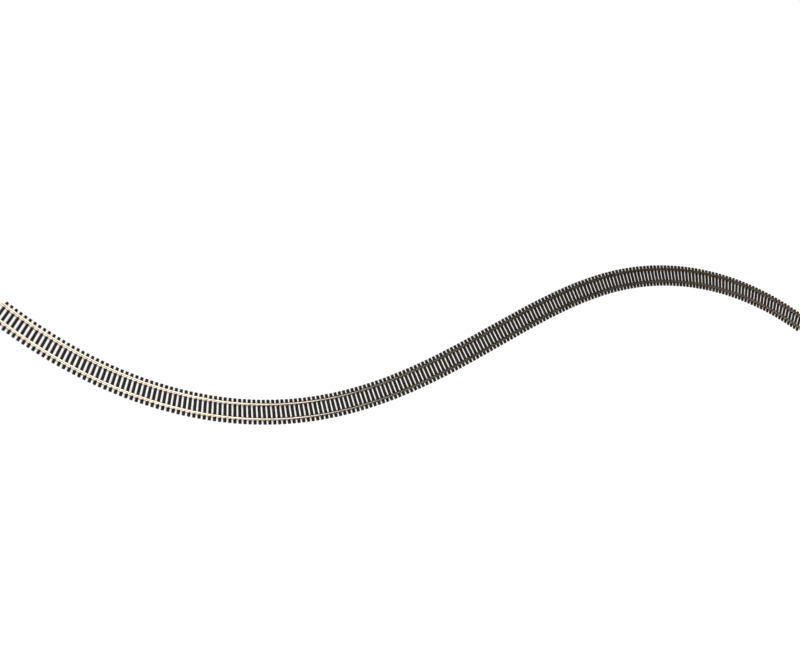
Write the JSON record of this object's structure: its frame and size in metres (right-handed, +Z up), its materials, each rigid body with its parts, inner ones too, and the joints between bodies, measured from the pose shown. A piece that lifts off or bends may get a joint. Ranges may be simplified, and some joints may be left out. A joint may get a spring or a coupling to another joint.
{
  "type": "flexible model railway track section",
  "caption": "Flexible model railway track of narrow gauge for small trains: two flat-bottomed rails held by clips on a moulded strip of sleepers, laid in a loose S-curve that bends either way.",
  "frame": {"origin": "centre of the underside of the middle sleeper", "axes": "+X along the rails at the origin, towards the higher section numbers; +Y across the track to the left rail; +Z up"},
  "size_m": [0.6438, 0.2804, 0.0033],
  "materials": {
    "rail": "bright drawn nickel silver",
    "sleeper": "moulded black-brown plastic with fine wood grain"
  },
  "bodies": {
    "section_01": {"sleepers_01": "sleeper", "left_rail_01": "rail", "right_rail_01": "rail"},
    "section_02": {"sleepers_02": "sleeper", "left_rail_02": "rail", "right_rail_02": "rail"},
    "section_03": {"sleepers_03": "sleeper", "left_rail_03": "rail", "right_rail_03": "rail"},
    "section_04": {"sleepers_04": "sleeper", "left_rail_04": "rail", "right_rail_04": "rail"},
    "section_05": {"sleepers_05": "sleeper", "left_rail_05": "rail", "right_rail_05": "rail"},
    "section_06": {"sleepers_06": "sleeper", "left_rail_06": "rail", "right_rail_06": "rail"},
    "section_07": {"sleepers_07": "sleeper", "left_rail_07": "rail", "right_rail_07": "rail"},
    "section_08": {"sleepers_08": "sleeper", "left_rail_08": "rail", "right_rail_08": "rail"},
    "section_09": {"sleepers_09": "sleeper", "left_rail_09": "rail", "right_rail_09": "rail"},
    "section_10": {"sleepers_10": "sleeper", "left_rail_10": "rail", "right_rail_10": "rail"},
    "section_11": {"sleepers_11": "sleeper", "left_rail_11": "rail", "right_rail_11": "rail"},
    "section_12": {"sleepers_12": "sleeper", "left_rail_12": "rail", "right_rail_12": "rail"},
    "section_13": {"sleepers_13": "sleeper", "left_rail_13": "rail", "right_rail_13": "rail"},
    "section_14": {"sleepers_14": "sleeper", "left_rail_14": "rail", "right_rail_14": "rail"},
    "section_15": {"sleepers_15": "sleeper", "left_rail_15": "rail", "right_rail_15": "rail"},
    "section_16": {"sleepers_16": "sleeper", "left_rail_16": "rail", "right_rail_16": "rail"},
    "section_17": {"sleepers_17": "sleeper", "left_rail_17": "rail", "right_rail_17": "rail"}
  },
  "joints": [
    {"name": "flex_01", "type": "hinge", "parent": "section_02", "child": "section_01", "pos_m": [-0.28281, 0.12233, 0], "axis": [0, 0, -1], "range_deg": [-12, 3], "deforming": ["left_rail_01", "right_rail_01", "left_rail_02", "right_rail_02"]},
    {"name": "flex_02", "type": "hinge", "parent": "section_03", "child": "section_02", "pos_m": [-0.25563, 0.08942, 0], "axis": [0, 0, -1], "range_deg": [-12, 3], "deforming": ["left_rail_02", "right_rail_02", "left_rail_03", "right_rail_03"]},
    {"name": "flex_03", "type": "hinge", "parent": "section_04", "child": "section_03", "pos_m": [-0.22387, 0.06091, 0], "axis": [0, 0, -1], "range_deg": [-12, 3], "deforming": ["left_rail_03", "right_rail_03", "left_rail_04", "right_rail_04"]},
    {"name": "flex_04", "type": "hinge", "parent": "section_05", "child": "section_04", "pos_m": [-0.1881, 0.03764, 0], "axis": [0, 0, -1], "range_deg": [-12, 3], "deforming": ["left_rail_04", "right_rail_04", "left_rail_05", "right_rail_05"]},
    {"name": "flex_05", "type": "hinge", "parent": "section_06", "child": "section_05", "pos_m": [-0.14915, 0.02021, 0], "axis": [0, 0, -1], "range_deg": [-12, 4], "deforming": ["left_rail_05", "right_rail_05", "left_rail_06", "right_rail_06"]},
    {"name": "flex_06", "type": "hinge", "parent": "section_07", "child": "section_06", "pos_m": [-0.10803, 0.00875, 0], "axis": [0, 0, -1], "range_deg": [-12, 4], "deforming": ["left_rail_06", "right_rail_06", "left_rail_07", "right_rail_07"]},
    {"name": "flex_07", "type": "hinge", "parent": "section_08", "child": "section_07", "pos_m": [-0.06579, 0.00253, 0], "axis": [0, 0, -1], "range_deg": [-12, 4], "deforming": ["left_rail_07", "right_rail_07", "left_rail_08", "right_rail_08"]},
    {"name": "flex_08", "type": "hinge", "parent": "section_09", "child": "section_08", "pos_m": [-0.02314, 0.0002, 0], "axis": [0, 0, -1], "range_deg": [-12, 4], "deforming": ["left_rail_08", "right_rail_08", "left_rail_09", "right_rail_09"]},
    {"name": "flex_09", "type": "hinge", "parent": "section_09", "child": "section_10", "pos_m": [0.01958, 0.00015, 0], "axis": [0, 0, 1], "range_deg": [-4.5, 12], "deforming": ["left_rail_09", "right_rail_09", "left_rail_10", "right_rail_10"]},
    {"name": "flex_10", "type": "hinge", "parent": "section_10", "child": "section_11", "pos_m": [0.0623, 0.00059, 0], "axis": [0, 0, 1], "range_deg": [-4.5, 12], "deforming": ["left_rail_10", "right_rail_10", "left_rail_11", "right_rail_11"]},
    {"name": "flex_11", "type": "hinge", "parent": "section_11", "child": "section_12", "pos_m": [0.105, -0.00036, 0], "axis": [0, 0, 1], "range_deg": [-4.5, 12], "deforming": ["left_rail_11", "right_rail_11", "left_rail_12", "right_rail_12"]},
    {"name": "flex_12", "type": "hinge", "parent": "section_12", "child": "section_13", "pos_m": [0.14747, -0.00477, 0], "axis": [0, 0, 1], "range_deg": [-4.5, 12], "deforming": ["left_rail_12", "right_rail_12", "left_rail_13", "right_rail_13"]},
    {"name": "flex_13", "type": "hinge", "parent": "section_13", "child": "section_14", "pos_m": [0.189, -0.01462, 0], "axis": [0, 0, 1], "range_deg": [-2.5, 12], "deforming": ["left_rail_13", "right_rail_13", "left_rail_14", "right_rail_14"]},
    {"name": "flex_14", "type": "hinge", "parent": "section_14", "child": "section_15", "pos_m": [0.22851, -0.03074, 0], "axis": [0, 0, 1], "range_deg": [-2.5, 12], "deforming": ["left_rail_14", "right_rail_14", "left_rail_15", "right_rail_15"]},
    {"name": "flex_15", "type": "hinge", "parent": "section_15", "child": "section_16", "pos_m": [0.26505, -0.0528, 0], "axis": [0, 0, 1], "range_deg": [-2.5, 12], "deforming": ["left_rail_15", "right_rail_15", "left_rail_16", "right_rail_16"]},
    {"name": "flex_16", "type": "hinge", "parent": "section_16", "child": "section_17", "pos_m": [0.29767, -0.08032, 0], "axis": [0, 0, 1], "range_deg": [-2.5, 12], "deforming": ["left_rail_16", "right_rail_16", "left_rail_17", "right_rail_17"]}
  ],
  "couplings": [
    {"joint": "flex_01", "follows": "flex_04", "ratio": 1},
    {"joint": "flex_02", "follows": "flex_04", "ratio": 1},
    {"joint": "flex_03", "follows": "flex_04", "ratio": 1},
    {"joint": "flex_05", "follows": "flex_08", "ratio": 1},
    {"joint": "flex_06", "follows": "flex_08", "ratio": 1},
    {"joint": "flex_07", "follows": "flex_08", "ratio": 1},
    {"joint": "flex_10", "follows": "flex_09", "ratio": 1},
    {"joint": "flex_11", "follows": "flex_09", "ratio": 1},
    {"joint": "flex_12", "follows": "flex_09", "ratio": 1},
    {"joint": "flex_14", "follows": "flex_13", "ratio": 1},
    {"joint": "flex_15", "follows": "flex_13", "ratio": 1},
    {"joint": "flex_16", "follows": "flex_13", "ratio": 1}
  ]
}
